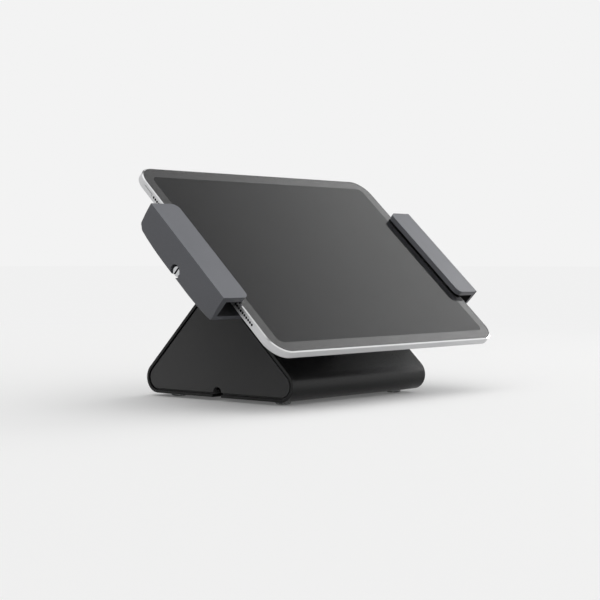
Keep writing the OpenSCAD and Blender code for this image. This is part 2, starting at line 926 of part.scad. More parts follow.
module volume_down() {
    volume_button(volume_x[1]);
}

base_shell();
base_floor();
end_cap_left();
end_cap_right();
tie_rod();
ballast_plate();
ballast_screws();
rubber_feet();
cable_grommet();
backing_plate();
pedestal();
pedestal_bolts();
carrier_tray();
carrier_bolts();
carrier_cover();
cover_screws();
rest_pads();
guide_block_outer();
guide_block_inner();
block_screws();
lead_nut();
fixed_arm();
arm_screws();
jaw_right();
lip_pad_right();
buffer_right();
jaw_left();
slider_block();
slider_screws();
guide_rods();
lip_pad_left();
buffer_left();
lead_screw();
screw_collar();
tablet_shell();
tablet_glass();
tablet_bezel();
tablet_display();
tablet_battery();
tablet_board();
tablet_speakers();
front_camera();
rear_camera();
charge_port();
power_button();
volume_up();
volume_down();
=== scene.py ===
import math

import bmesh
import bpy
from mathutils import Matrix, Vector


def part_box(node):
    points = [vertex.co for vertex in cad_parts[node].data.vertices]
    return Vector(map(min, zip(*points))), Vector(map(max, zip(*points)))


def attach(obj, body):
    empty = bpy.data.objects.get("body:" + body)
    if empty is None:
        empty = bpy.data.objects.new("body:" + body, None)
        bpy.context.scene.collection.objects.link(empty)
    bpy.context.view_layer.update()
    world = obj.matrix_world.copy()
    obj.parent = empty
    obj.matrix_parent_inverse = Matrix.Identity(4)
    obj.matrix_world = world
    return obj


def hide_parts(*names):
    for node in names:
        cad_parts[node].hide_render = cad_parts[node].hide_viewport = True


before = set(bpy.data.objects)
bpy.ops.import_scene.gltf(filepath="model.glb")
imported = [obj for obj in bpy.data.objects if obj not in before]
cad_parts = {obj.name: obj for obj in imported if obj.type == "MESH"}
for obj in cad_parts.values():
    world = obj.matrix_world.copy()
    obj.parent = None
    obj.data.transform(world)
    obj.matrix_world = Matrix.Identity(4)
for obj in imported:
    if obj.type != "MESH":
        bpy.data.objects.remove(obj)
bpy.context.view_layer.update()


# Camera: stands at counter height to the left front of the stand, with a long lens.
# Its place and turn were found by fitting the tablet's and the base's edges.
CAMERA_AT = (-0.81517, -0.71059, 0.09383)
CAMERA_PITCH = math.radians(88.544)
CAMERA_YAW = math.radians(-49.404)
SENSOR_WIDTH = 36
FOCAL_LENGTH = 88.59

bpy.ops.object.camera_add(location=CAMERA_AT, rotation=(CAMERA_PITCH, 0, CAMERA_YAW))
camera = bpy.context.object
camera.name = "camera"
camera.data.sensor_width = SENSOR_WIDTH
camera.data.lens = FOCAL_LENGTH
bpy.context.scene.camera = camera
bpy.context.scene.view_settings.view_transform = "Standard"


# Floor: a plain pale studio sheet under the feet, which runs out into the backdrop.
# Far from the stand it gives way to the backdrop's own even tone.
FLOOR_SIZE = 60
FLOOR_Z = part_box("rubber_feet")[0].z
FLOOR_TONE = (0.935, 0.935, 0.932, 1)
FLOOR_BOUNCE = (0.07, 0.07, 0.075, 1)
FLOOR_FAR = 0.875
FLOOR_EVEN = 0.12
FADE_FROM = 0.35
FADE_TO = 1.3


def feed(tree, source, socket):
    """Links another node's output to the socket, or sets the socket to a plain value."""
    if isinstance(source, bpy.types.NodeSocket):
        tree.links.new(source, socket)
    else:
        socket.default_value = source


def mix(tree, share, first, second, way="MIX"):
    """Mixes two tones, each a colour or another node's output."""
    made = tree.nodes.new("ShaderNodeMix")
    made.data_type = "RGBA"
    made.blend_type = way
    for source, socket in ((share, "Factor"), (first, 6), (second, 7)):
        feed(tree, source, made.inputs[socket])
    return made.outputs[2]


def ranged(tree, value, start, end, low=0, high=1, way="LINEAR"):
    """Carries a value over from one range to another."""
    made = tree.nodes.new("ShaderNodeMapRange")
    made.interpolation_type = way
    inputs = {"Value": value, "From Min": start, "From Max": end, "To Min": low, "To Max": high}
    for name, source in inputs.items():
        feed(tree, source, made.inputs[name])
    return made.outputs["Result"]


def sum_of(tree, way, first, second):
    """Works out one sum on two nodes' outputs."""
    made = tree.nodes.new("ShaderNodeMath")
    made.operation = way
    tree.links.new(first, made.inputs[0])
    tree.links.new(second, made.inputs[1])
    return made.outputs[0]


bpy.ops.object.select_all(action="DESELECT")
bpy.ops.mesh.primitive_plane_add(size=FLOOR_SIZE, location=(0, 0, FLOOR_Z))
floor = bpy.context.object
floor.name = floor.data.name = "studio_floor"
bpy.ops.object.transform_apply(location=True, rotation=True, scale=True)
paper = bpy.data.materials.new("studio_paper")
paper.use_nodes = True
tree = paper.node_tree
nodes, links = tree.nodes, tree.links
sheet = nodes["Principled BSDF"]
rays = nodes.new("ShaderNodeLightPath").outputs
links.new(mix(tree, rays["Is Diffuse Ray"], FLOOR_TONE, FLOOR_BOUNCE), sheet.inputs["Base Color"])
sheet.inputs["Roughness"].default_value = 0.9
sheet.inputs["Specular IOR Level"].default_value = 0.1
even = nodes.new("ShaderNodeEmission")
even.inputs["Color"].default_value = (FLOOR_FAR, FLOOR_FAR, FLOOR_FAR, 1)
even.inputs["Strength"].default_value = 1
place = nodes.new("ShaderNodeTexCoord")
reach = nodes.new("ShaderNodeVectorMath")
reach.operation = "LENGTH"
links.new(place.outputs["Object"], reach.inputs[0])
fade = ranged(tree, reach.outputs["Value"], FADE_FROM, FADE_TO, FLOOR_EVEN, 1, "SMOOTHSTEP")
seen = sum_of(tree, "MAXIMUM", rays["Is Camera Ray"], rays["Is Glossy Ray"])
seen = sum_of(tree, "MAXIMUM", seen, rays["Is Transmission Ray"])
join = nodes.new("ShaderNodeMixShader")
links.new(sum_of(tree, "MULTIPLY", fade, seen), join.inputs["Fac"])
links.new(sheet.outputs["BSDF"], join.inputs[1])
links.new(even.outputs["Emission"], join.inputs[2])
links.new(join.outputs["Shader"], nodes["Material Output"].inputs["Surface"])
floor.data.materials.append(paper)


# Studio light: a pale room lit from above and in front, which mirrors see as dark high up
# with a bright bank in front. A wide soft panel on the right lays the long shadow to the
# left, and a low strip under it gives the satin faces their sheen.
BACKDROP = 0.896
ROOM_LOW = 0.30
ROOM_HIGH = 1.50
ROOM_EDGE = 0.35
ROOM_LIT_FROM = (0, -0.40, 0.91)
MIRROR_STEPS = ((0.0, 0.95), (0.30, 1.0), (0.50, 0.80), (0.566, 0.64), (0.62, 0.50), (0.66, 0.37),
                (0.705, 0.24), (0.80, 0.15), (0.88, 0.30), (0.95, 0.95), (1.0, 1.0))
MIRROR_FRONT = 0.75
MIRROR_REAR = 1.25
MIRROR_TURN = 0.3
MIRROR_RAISED = (0.25, 0.5)
BANK_TONE = 0.85
BANK_EDGE = (-0.35, -0.6)
PANEL_AT = (10.86, 0, 5.07)
PANEL_LEAN = math.radians(65)
PANEL_SIZE = (6.0, 9.6)
PANEL_POWER = 330
STRIP_AT = (3.83, 0, 1.17)
STRIP_LEAN = math.radians(73)
STRIP_SIZE = (1.27, 3.2)
STRIP_POWER = 80

world = bpy.data.worlds.new("studio")
bpy.context.scene.world = world
world.use_nodes = True
tree = world.node_tree
nodes, links = tree.nodes, tree.links
room = nodes["Background"]
room.inputs["Strength"].default_value = 1
way = nodes.new("ShaderNodeTexCoord")
split = nodes.new("ShaderNodeSeparateXYZ")
links.new(way.outputs["Generated"], split.inputs["Vector"])
walls = nodes.new("ShaderNodeValToRGB")
walls.color_ramp.interpolation = "B_SPLINE"
while len(walls.color_ramp.elements) < len(MIRROR_STEPS):
    walls.color_ramp.elements.new(0.5)
for stop, (height, tone) in zip(walls.color_ramp.elements, MIRROR_STEPS):
    stop.position = height
    stop.color = (tone, tone, tone, 1)
links.new(split.outputs["Z"], walls.inputs["Fac"])
turn = ranged(tree, split.outputs["Y"], -MIRROR_TURN, MIRROR_TURN, MIRROR_FRONT, MIRROR_REAR)
raised = ranged(tree, split.outputs["Z"], *MIRROR_RAISED, 0, 1, "SMOOTHSTEP")
mirror_tone = mix(tree, raised, walls.outputs["Color"], turn, "MULTIPLY")
bank = ranged(tree, split.outputs["Y"], *BANK_EDGE, 0, BANK_TONE)
banked = mix(tree, 1, mirror_tone, bank, "LIGHTEN")
towards = nodes.new("ShaderNodeVectorMath")
towards.operation = "DOT_PRODUCT"
towards.inputs[1].default_value = ROOM_LIT_FROM
links.new(way.outputs["Generated"], towards.inputs[0])
soft_tone = ranged(tree, towards.outputs["Value"], ROOM_EDGE, 1, ROOM_LOW, ROOM_HIGH)
rays = nodes.new("ShaderNodeLightPath").outputs
mirrored = sum_of(tree, "MAXIMUM", rays["Is Glossy Ray"], rays["Is Transmission Ray"])
lit = mix(tree, mirrored, soft_tone, banked)
backdrop = mix(tree, rays["Is Camera Ray"], lit, (BACKDROP, BACKDROP, BACKDROP, 1))
links.new(backdrop, room.inputs["Color"])


def lamp(name, at, lean, size, power):
    """A rectangular soft lamp that leans towards the stand."""
    bpy.ops.object.light_add(type="AREA", location=at, rotation=(0, lean, 0))
    made = bpy.context.object
    made.name = name
    made.data.shape = "RECTANGLE"
    made.data.size, made.data.size_y = size
    made.data.energy = power
    return made


panel = lamp("right_panel", PANEL_AT, PANEL_LEAN, PANEL_SIZE, PANEL_POWER)
panel.visible_glossy = False
panel.visible_transmission = False
strip = lamp("right_strip", STRIP_AT, STRIP_LEAN, STRIP_SIZE, STRIP_POWER)
strip.visible_diffuse = False


# Base shell and floor: one steel sheet bent to a rounded triangle and closed by a flat
# sheet welded between its two lower bends, then powder coated satin black.
MM = 0.001
CORNER_R = 11
CORNERS = ((-59, 11), (59, 11), (2.0603, 67.9397))
BASE_END = 75
SHEET = 2
GROMMET_AT = (56, -20)
GROMMET_HOLE_R = 6
NOTCH_R = 4
NOTCH_TOP = 3.3
NOTCH_RUN = (-76, -63.6)
COUNTER_HOLE_R = 2.75
SCREW_HOLE_R = 1.52
SINK_R = 2.84
COUNTER_SPOTS = [(x, y) for x in (-55, 55) for y in (-30, 30)]
BALLAST_SPOTS = [(x, y) for x in (-35, 35) for y in (-20, 20)]
TILT = math.radians(43)
HEAD_AT = (0, -34.874 * MM, 98.309 * MM)


def alone(piece):
    """Selects one piece and nothing else."""
    bpy.ops.object.select_all(action="DESELECT")
    piece.select_set(True)
    bpy.context.view_layer.objects.active = piece


def settle(piece, name=None):
    """Puts the piece's place into its mesh and leaves its object at the origin."""
    alone(piece)
    bpy.ops.object.transform_apply(location=True, rotation=True, scale=True)
    if name:
        piece.name = piece.data.name = name
    return piece


def pick(piece, kind, test):
    """In edit mode, selects the faces or edges that pass the test."""
    alone(piece)
    bpy.ops.object.mode_set(mode="EDIT")
    bpy.ops.mesh.select_mode(type=kind)
    bpy.ops.mesh.select_all(action="DESELECT")
    mesh = bmesh.from_edit_mesh(piece.data)
    for part in mesh.faces if kind == "FACE" else mesh.edges:
        if test(part):
            part.select_set(True)
    mesh.select_flush_mode()
    bmesh.update_edit_mesh(piece.data)


def done():
    """Leaves edit mode."""
    bpy.ops.object.mode_set(mode="OBJECT")


def bar(name, start, end, radius, sides=48):
    """A round bar between two points, in mm."""
    bpy.ops.object.select_all(action="DESELECT")
    run = [b - a for a, b in zip(start, end)]
    length = math.sqrt(sum(r * r for r in run))
    middle = [(a + b) / 2 * MM for a, b in zip(start, end)]
    bpy.ops.mesh.primitive_cylinder_add(
        vertices=sides, radius=radius * MM, depth=length * MM, location=middle,
        rotation=(0, math.acos(run[2] / length), math.atan2(run[1], run[0])))
    return settle(bpy.context.object, name)


def block(name, low, high):
    """A block between two corners, in mm."""
    bpy.ops.object.select_all(action="DESELECT")
    bpy.ops.mesh.primitive_cube_add(
        size=1, location=[(a + b) / 2 * MM for a, b in zip(low, high)],
        scale=[(b - a) * MM for a, b in zip(low, high)])
    return settle(bpy.context.object, name)


def merge(pieces, name):
    """Joins several meshes into one."""
    alone(pieces[0])
    for piece in pieces:
        piece.select_set(True)
    bpy.ops.object.join()
    pieces[0].name = pieces[0].data.name = name
    return pieces[0]


def machine(piece, tool, way="DIFFERENCE"):
    """Cuts the tool's shape out of the piece, or adds it, and clears the tool away."""
    alone(piece)
    bpy.ops.object.modifier_add(type="BOOLEAN")
    step = piece.modifiers[-1]
    step.operation = way
    step.solver = "EXACT"
    step.material_mode = "TRANSFER"
    step.use_self = True
    step.object = tool
    bpy.ops.object.modifier_apply(modifier=step.name)
    bpy.data.objects.remove(tool)


def soften(piece, width, segments=2, angle=35):
    """Breaks the sharp edges by a small rounding."""
    alone(piece)
    bpy.ops.object.modifier_add(type="BEVEL")
    step = piece.modifiers[-1]
    step.width = width * MM
    step.segments = segments
    step.limit_method = "ANGLE"
    step.angle_limit = math.radians(angle)
    step.miter_outer = "MITER_ARC"
    bpy.ops.object.modifier_apply(modifier=step.name)


def to_head(piece):
    """Turns a piece that was made flat to the tablet's slope and lifts it to its place."""
    piece.rotation_euler = (TILT, 0, 0)
    piece.location = HEAD_AT
    return settle(piece)


def fit(piece, body, slot, finish, *replaced):
    """Smooths the faces and hands the piece to its body."""
    alone(piece)
    bpy.ops.object.shade_smooth_by_angle(angle=math.radians(32))
    bpy.ops.object.modifier_add(type="WEIGHTED_NORMAL")
    step = piece.modifiers[-1]
    step.keep_sharp = True
    bpy.ops.object.modifier_apply(modifier=step.name)
    if finish:
        piece.data.materials.clear()
        piece.data.materials.append(finish)
    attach(piece, body)
    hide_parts(*replaced)


def noise(tree, place, scale, detail=2):
    """A cloudy pattern over the given places."""
    made = tree.nodes.new("ShaderNodeTexNoise")
    made.inputs["Scale"].default_value = scale
    made.inputs["Detail"].default_value = detail
    tree.links.new(place, made.inputs["Vector"])
    return made.outputs["Fac"]


def coat(name, dark, light, grain, gloss, height, metal=0, stretch=(1, 1, 1), clouds=14, level=0.5):
    """A finish whose colour, gloss and height follow a fine grain and broad soft clouds."""
    finish = bpy.data.materials.new(name)
    finish.use_nodes = True
    tree = finish.node_tree
    nodes, links = tree.nodes, tree.links
    shader = nodes["Principled BSDF"]
    shader.inputs["Metallic"].default_value = metal
    shader.inputs["Specular IOR Level"].default_value = level
    place = nodes.new("ShaderNodeTexCoord").outputs["Object"]
    along = nodes.new("ShaderNodeMapping")
    along.inputs["Scale"].default_value = stretch
    links.new(place, along.inputs["Vector"])
    fine = noise(tree, along.outputs["Vector"], grain, 3)
    broad = noise(tree, place, clouds)
    tone = ranged(tree, sum_of(tree, "ADD", fine, broad), 0.7, 1.3)
    links.new(mix(tree, tone, (*dark, 1), (*light, 1)), shader.inputs["Base Color"])
    links.new(ranged(tree, fine, 0.3, 0.7, *gloss), shader.inputs["Roughness"])
    relief = nodes.new("ShaderNodeBump")
    relief.inputs["Strength"].default_value = height[0]
    relief.inputs["Distance"].default_value = height[1] * MM
    links.new(fine, relief.inputs["Height"])
    links.new(relief.outputs["Normal"], shader.inputs["Normal"])
    return finish


def base_prism(name, left, right, inset):
    """The base's rounded triangle along X: three round bars wrapped by their hull."""
    bars = [bar(name, (left, y, z), (right, y, z), CORNER_R - inset, 120) for y, z in CORNERS]
    prism = merge(bars, name)
    alone(prism)
    bpy.ops.object.mode_set(mode="EDIT")
    bpy.ops.mesh.select_all(action="SELECT")
    bpy.ops.mesh.convex_hull()
    bpy.ops.mesh.select_all(action="SELECT")
    bpy.ops.mesh.dissolve_limited(angle_limit=math.radians(0.3))
    done()
    return prism


black_coat = coat("satin_black_powder_coat", (0.010, 0.010, 0.0105), (0.014, 0.014, 0.0145),
                  1900, (0.26, 0.34), (0.12, 0.04), level=0.25)

base_shell = base_prism("base_sheet", -BASE_END, BASE_END, 0)
pick(base_shell, "FACE", lambda face: abs(face.normal.x) > 0.9)
bpy.ops.mesh.delete(type="ONLY_FACE")
done()
pick(base_shell, "FACE", lambda face: face.normal.z < -0.99999)
bpy.ops.mesh.separate(type="SELECTED")
done()
base_floor = [part for part in bpy.context.selected_objects if part != base_shell][0]
base_floor.name = base_floor.data.name = "base_floor_sheet"
for part in (base_shell, base_floor):
    alone(part)
    bpy.ops.object.modifier_add(type="SOLIDIFY")
    part.modifiers[-1].thickness = SHEET * MM
    part.modifiers[-1].offset = -1
    part.modifiers[-1].use_even_offset = True
    bpy.ops.object.modifier_apply(modifier=part.modifiers[-1].name)
machine(base_shell, to_head(bar("grommet_hole", (*GROMMET_AT, -42), (*GROMMET_AT, -33), GROMMET_HOLE_R)))
soften(base_shell, 0.15)
fit(base_shell, "stand", "powder_coated_steel", black_coat, "base_shell")


def notch_tool():
    """The cord notch: a slot with a round top through the left end."""
    out, end = NOTCH_RUN
    slot = block("notch", (out, -NOTCH_R, -1), (end, NOTCH_R, NOTCH_TOP))
    machine(slot, bar("notch_top", (out, 0, NOTCH_TOP), (end, 0, NOTCH_TOP), NOTCH_R), "UNION")
    return slot


def cone(name, at, wide, narrow, depth):
    """A countersink that narrows upwards from its wide mouth, in mm."""
    bpy.ops.object.select_all(action="DESELECT")
    bpy.ops.mesh.primitive_cone_add(
        vertices=32, radius1=wide * MM, radius2=narrow * MM, depth=depth * MM,
        location=(at[0] * MM, at[1] * MM, (at[2] + depth / 2) * MM))
    return settle(bpy.context.object, name)


holes = [bar("hole", (x, y, -1), (x, y, 3), COUNTER_HOLE_R, 32) for x, y in COUNTER_SPOTS]
holes += [bar("hole", (x, y, -1), (x, y, 3), SCREW_HOLE_R, 24) for x, y in BALLAST_SPOTS]
machine(base_floor, merge(holes, "floor_holes"))
sinks = [cone("sink", (x, y, -0.02), SINK_R, SCREW_HOLE_R, 1.62) for x, y in BALLAST_SPOTS]
machine(base_floor, merge(sinks, "floor_sinks"))
machine(base_floor, notch_tool())
soften(base_floor, 0.25)
fit(base_floor, "stand", "powder_coated_steel", black_coat, "base_floor")


# End caps: two moulded cups of matt black plastic that close the ends of the base.
# Each face stands a little inside the sheet, behind a narrow shadow groove.
CAP_RIM = 73.1
CAP_BACK = 64.6
CAP_INSET = 2.1
CAP_GROOVE = 1.2
CAP_PROUD = 1.5
CAP_WALL = 2.9
CAP_HOLLOW = 7
BOSS_R = 6
TIE_Z = 30
TIE_HOLE_R = 2.52
TIE_SEAT_R = 4.62
cap_black = coat("matt_black_moulding", (0.108, 0.108, 0.108), (0.123, 0.123, 0.123),
                 5200, (0.62, 0.74), (0.18, 0.03), level=0.25)


def recess(piece, test, border, move):
    """Insets the faces that pass the test and draws them along, in mm."""
    pick(piece, "FACE", test)
    bpy.ops.mesh.inset(thickness=border * MM)
    bpy.ops.mesh.extrude_region_move(TRANSFORM_OT_translate={"value": [m * MM for m in move]})
    done()


def mend(piece):
    """Joins doubled points and turns all faces outwards."""
    alone(piece)
    bpy.ops.object.mode_set(mode="EDIT")
    bpy.ops.mesh.select_all(action="SELECT")
    bpy.ops.mesh.remove_doubles(threshold=1e-6)
    bpy.ops.mesh.normals_make_consistent(inside=False)
    done()


cap_left = base_prism("left_end_cap", -CAP_RIM, -CAP_BACK, CAP_INSET)
recess(cap_left, lambda face: face.normal.x < -0.9, CAP_GROOVE, (-CAP_PROUD, 0, 0))
recess(cap_left, lambda face: face.normal.x > 0.9, CAP_WALL, (-CAP_HOLLOW, 0, 0))
machine(cap_left, bar("boss", (-72.1, 0, TIE_Z), (-CAP_BACK, 0, TIE_Z), BOSS_R), "UNION")
alone(cap_left)
bpy.ops.object.duplicate()
cap_right = bpy.context.object
cap_right.scale = (-1, 1, 1)
settle(cap_right, "right_end_cap")
mend(cap_right)
machine(cap_left, notch_tool())
machine(cap_left, bar("tie_hole", (-71.6, 0, TIE_Z), (-60, 0, TIE_Z), TIE_HOLE_R))
machine(cap_right, bar("tie_hole", (60, 0, TIE_Z), (80, 0, TIE_Z), TIE_HOLE_R))
machine(cap_right, bar("tie_seat", (72.6, 0, TIE_Z), (80, 0, TIE_Z), TIE_SEAT_R))
for cap, node in ((cap_left, "end_cap_left"), (cap_right, "end_cap_right")):
    soften(cap, 0.35, 3)
    fit(cap, "stand", "cap_plastic", cap_black, node)


# Tie rod: a steel socket screw that runs through the base and draws the two caps together.
# Only its turned head shows, sunk flush in the right cap.
def lathe(name, steps, sides=48, closed=False):
    """A turned piece along Z: a ring drawn up through (radius, height) steps, in mm."""
    bpy.ops.object.select_all(action="DESELECT")
    radius, height = steps[0]
    bpy.ops.mesh.primitive_circle_add(vertices=sides, radius=radius * MM, location=(0, 0, height * MM),
                                      fill_type="NOTHING" if closed else "NGON")
    piece = settle(bpy.context.object, name)
    bpy.ops.object.mode_set(mode="EDIT")
    bpy.ops.mesh.select_mode(type="EDGE")
    bpy.ops.mesh.select_all(action="SELECT")
    for wide, tall in steps[1:]:
        grow = wide / radius
        bpy.ops.mesh.extrude_edges_move(TRANSFORM_OT_translate={"value": (0, 0, (tall - height) * MM)})
        bpy.ops.transform.resize(value=(grow, grow, 1), center_override=(0, 0, tall * MM))
        radius, height = wide, tall
    if closed:
        bpy.ops.mesh.select_all(action="DESELECT")
        mesh = bmesh.from_edit_mesh(piece.data)
        for edge in mesh.edges:
            if edge.is_boundary:
                edge.select_set(True)
        bmesh.update_edit_mesh(piece.data)
        bpy.ops.mesh.bridge_edge_loops()
    else:
        bpy.ops.mesh.edge_face_add()
    bpy.ops.mesh.select_all(action="SELECT")
    bpy.ops.mesh.normals_make_consistent(inside=False)
    done()
    return piece


def lay(piece, at, way="Z"):
    """Stands a turned piece at its place, with its Z axis along X, Z or -Z."""
    turns = {"Z": (0, 0, 0), "-Z": (math.pi, 0, 0), "X": (0, math.pi / 2, 0)}
    piece.rotation_euler = turns[way]
    piece.location = [a * MM for a in at]
    return settle(piece)


zinc = coat("zinc_plated_steel", (0.50, 0.51, 0.53), (0.60, 0.61, 0.62),
            900, (0.26, 0.36), (0.05, 0.02), metal=1)
tie_rod = lathe("turned_tie_rod", [(2.2, 0), (2.5, 0.3), (2.5, 143.58), (4.4, 143.58), (4.6, 143.78),
                                   (4.6, 145.2), (4.2, 145.6)])
machine(tie_rod, bar("hex", (0, 0, 144.2), (0, 0, 147), 2, 6))
lay(tie_rod, (-71, 0, TIE_Z), "X")
soften(tie_rod, 0.12)
fit(tie_rod, "stand", "fastener_steel", zinc, "tie_rod")


# Feet: four clear soft bumpers pressed on under the corners of the base floor.
# Each is a low moulded dome with a flat foot.
FOOT_SPOTS = [(x, y, 0) for x in (-62, 62) for y in (-50, 50)]
FOOT_H = 2.5
SOLE_R = 3.4
DOME_OUT = 2.1
DOME_UP = 1.5
DOME_STEPS = 8

clear_rubber = bpy.data.materials.new("clear_rubber")
clear_rubber.use_nodes = True
tree = clear_rubber.node_tree
shader = tree.nodes["Principled BSDF"].inputs
shader["Transmission Weight"].default_value = 0.35
shader["IOR"].default_value = 1.45
haze = noise(tree, tree.nodes.new("ShaderNodeTexCoord").outputs["Object"], 420)
cloudy = mix(tree, haze, (0.78, 0.79, 0.79, 1), (0.90, 0.91, 0.91, 1))
tree.links.new(cloudy, shader["Base Color"])
tree.links.new(ranged(tree, haze, 0, 1, 0.18, 0.34), shader["Roughness"])


def copies(pattern, places, way="Z"):
    """Copies one finished pattern to several places, in mm, and clears the pattern away."""
    made = []
    for at in places:
        alone(pattern)
        bpy.ops.object.duplicate()
        made.append(lay(bpy.context.object, at, way))
    bpy.data.objects.remove(pattern)
    return made


dome = []
for i in range(DOME_STEPS + 1):
    a = i * math.pi / 2 / DOME_STEPS
    dome.append((SOLE_R + DOME_OUT * math.sin(a), -FOOT_H + DOME_UP * (1 - math.cos(a))))
foot = lathe("foot", dome + [(5.5, -0.3), (5.2, 0)])
feet = merge(copies(foot, FOOT_SPOTS), "clear_feet")
fit(feet, "stand", "clear_rubber", clear_rubber, "rubber_feet")


# Cable grommet: a soft black ring that lines the hole in the front sheet, so that the
# charging lead can pass into the hollow base. A groove snaps over the sheet.
black_rubber = coat("black_rubber", (0.016, 0.016, 0.017), (0.024, 0.024, 0.025),
                    2600, (0.55, 0.7), (0.12, 0.03), level=0.35)
grommet = lathe("cord_grommet", [(4.0, -39.4), (4.5, -39.9), (7.0, -39.9), (7.5, -39.4), (7.5, -38.9),
                                 (7.2, -38.42), (5.98, -38.42), (5.98, -36.38), (7.2, -36.38), (7.5, -36.0),
                                 (7.3, -35.3), (6.6, -34.95), (4.6, -34.9), (4.0, -35.5)], 48, True)
lay(grommet, (*GROMMET_AT, 0))
fit(to_head(grommet), "stand", "black_rubber", black_rubber, "cable_grommet")


# Ballast, backing plate and the bolts behind them: plain steel inside the base.
# They keep the frame's own solids and show only through the counter-bolt holes.
def skin_node(name, finish):
    """Gives a CAD node that stays as it is the finish of its material."""
    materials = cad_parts[name].data.materials
    materials.clear()
    materials.append(finish)


mill_steel = coat("mill_steel", (0.30, 0.30, 0.32), (0.42, 0.42, 0.43),
                  260, (0.38, 0.56), (0.1, 0.05), metal=1, stretch=(1, 6, 1))
black_oxide = coat("black_oxide_steel", (0.10, 0.10, 0.105), (0.16, 0.16, 0.165),
                   1500, (0.36, 0.5), (0.06, 0.02), metal=1)
skin_node("ballast_plate", mill_steel)
skin_node("backing_plate", mill_steel)
skin_node("pedestal_bolts", black_oxide)
skin_node("carrier_bolts", zinc)


# Pedestal: a milled aluminium block, black anodised, bolted through the front sheet.
# It carries the head and holds it at the tilt of the base's front face.
black_anodised = coat("black_anodised_aluminium", (0.030, 0.030, 0.032), (0.042, 0.042, 0.045),
                      3200, (0.38, 0.5), (0.08, 0.02), stretch=(1, 4, 1))


def along_z(edge):
    """True for an upright edge of a flat piece."""
    a, b = (vert.co for vert in edge.verts)
    return abs(a.x - b.x) < 1e-7 and abs(a.y - b.y) < 1e-7


def round_edges(piece, test, radius, segments):
    """Rounds the edges that pass the test, in mm."""
    pick(piece, "EDGE", test)
    bpy.ops.mesh.bevel(offset=radius * MM, segments=segments, profile=0.5, affect="EDGES")
    done()


def round_plate(name, low, high, radius, segments=12):
    """A flat plate whose four upright corners are rounded, in mm."""
    plate = block(name, low, high)
    round_edges(plate, along_z, radius, segments)
    return plate


pedestal = round_plate("head_pedestal", (-38, -38, -36.38), (38, 4, -18.62), 6)
soften(pedestal, 0.5)
fit(to_head(pedestal), "stand", "black_aluminium", black_anodised, "pedestal")


# Carrier tray and cover: a shallow milled tray, black anodised, that holds the screw, the
# rods and their blocks, and a thin cover screwed to its six posts.
HEAD_X = 98.15
HEAD_V = 38
TRAY_BACK = -18.6
TRAY_FRONT = -7.8
TRAY_WALL = 2.4
TRAY_HOLLOW = 8.4
COVER_BACK = -7.78
COVER_FRONT = -6.8
HEAD_ROUND = 5
POST_R = 3.2
TAP_R = 1.27
SEAT_R = 2.42
ROD_V = 22
ROD_N = -12.4
SCREW_N = -13.9
POSTS = [(x, v) for x in (-92.15, 0, 92.15) for v in (-31.5, 31.5)]
BLOCK_SPOTS = [(x, v) for x in (-84.65, -55.15) for v in (-14, 14)]
ARM_TRAY_SPOTS = [(x, v) for x in (76.15, 89.15) for v in (-12, 12)]


def holes_at(spots, low, high, radius, sides=24):
    """Round tools at several places between two heights, joined as one."""
    return merge([bar("hole", (x, v, low), (x, v, high), radius, sides) for x, v in spots], "holes")


def countersinks(spots, height):
    """Countersunk screw holes that open downwards at one height."""
    sinks = [cone("sink", (x, v, height - 0.02), SINK_R, SCREW_HOLE_R, 1.64) for x, v in spots]
    return merge(sinks, "sinks"), holes_at(spots, height + 1, height + 4, SCREW_HOLE_R)


tray = round_plate("head_tray", (-HEAD_X, -HEAD_V, TRAY_BACK), (HEAD_X, HEAD_V, TRAY_FRONT), HEAD_ROUND)
recess(tray, lambda face: face.normal.z > 0.9, TRAY_WALL, (0, 0, -TRAY_HOLLOW))
machine(tray, holes_at(POSTS, -16.7, TRAY_FRONT, POST_R, 32), "UNION")
mouths = [bar("mouth", (-100, v, n), (-94.75, v, n), radius, 32)
          for v, n, radius in ((-ROD_V, ROD_N, 3.4), (0, SCREW_N, 3), (ROD_V, ROD_N, 3.4))]
mouths.append(block("arm_mouth", (95, -20.3, -16.2), (100, 20.3, -11.6)))
machine(tray, merge(mouths, "mouths"))
machine(tray, holes_at(POSTS, -13.8, -5, TAP_R))
for tool in countersinks(BLOCK_SPOTS + ARM_TRAY_SPOTS, TRAY_BACK):
    machine(tray, tool)
soften(tray, 0.3)
fit(to_head(tray), "stand", "black_aluminium", black_anodised, "carrier_tray")

cover = round_plate("head_cover", (-HEAD_X, -HEAD_V, COVER_BACK), (HEAD_X, HEAD_V, COVER_FRONT), HEAD_ROUND)
machine(cover, holes_at(POSTS, -7.3, -5, SEAT_R, 32))
machine(cover, holes_at(POSTS, -9, -5, TAP_R))
soften(cover, 0.2)
fit(to_head(cover), "stand", "black_aluminium", black_anodised, "carrier_cover")


# Small screws: countersunk and flat-headed machine screws of zinc-plated steel.
# One of each is turned, given its hex socket, and copied to every place.
ARM_JAW_SPOTS = [(x, v) for x in (108.15, 124.15) for v in (-12, 12)]
SLIDER_SPOTS = [(x, v) for x in (-129.45, -122.45) for v in (-11, 11)]
JAW_BACK = -18
SCREW_SETS = (("ballast_screws", "stand", [(BALLAST_SPOTS, 6.5, 0)]),
              ("block_screws", "stand", [(BLOCK_SPOTS, 7.5, TRAY_BACK)]),
              ("arm_screws", "stand", [(ARM_TRAY_SPOTS, 6, TRAY_BACK), (ARM_JAW_SPOTS, 5.4, JAW_BACK)]),
              ("slider_screws", "jaw", [(SLIDER_SPOTS, 6, JAW_BACK)]))


def sunk_screw(length):
    """A countersunk screw that points upwards from its flat head."""
    screw = lathe("sunk_screw", [(2.55, 0), (2.78, 0.1), (2.78, 0.2), (1.5, 1.6), (1.5, length - 0.4),
                                 (1.1, length)], 32)
    machine(screw, bar("hex", (0, 0, -0.5), (0, 0, 1.1), 1.15, 6))
    return screw


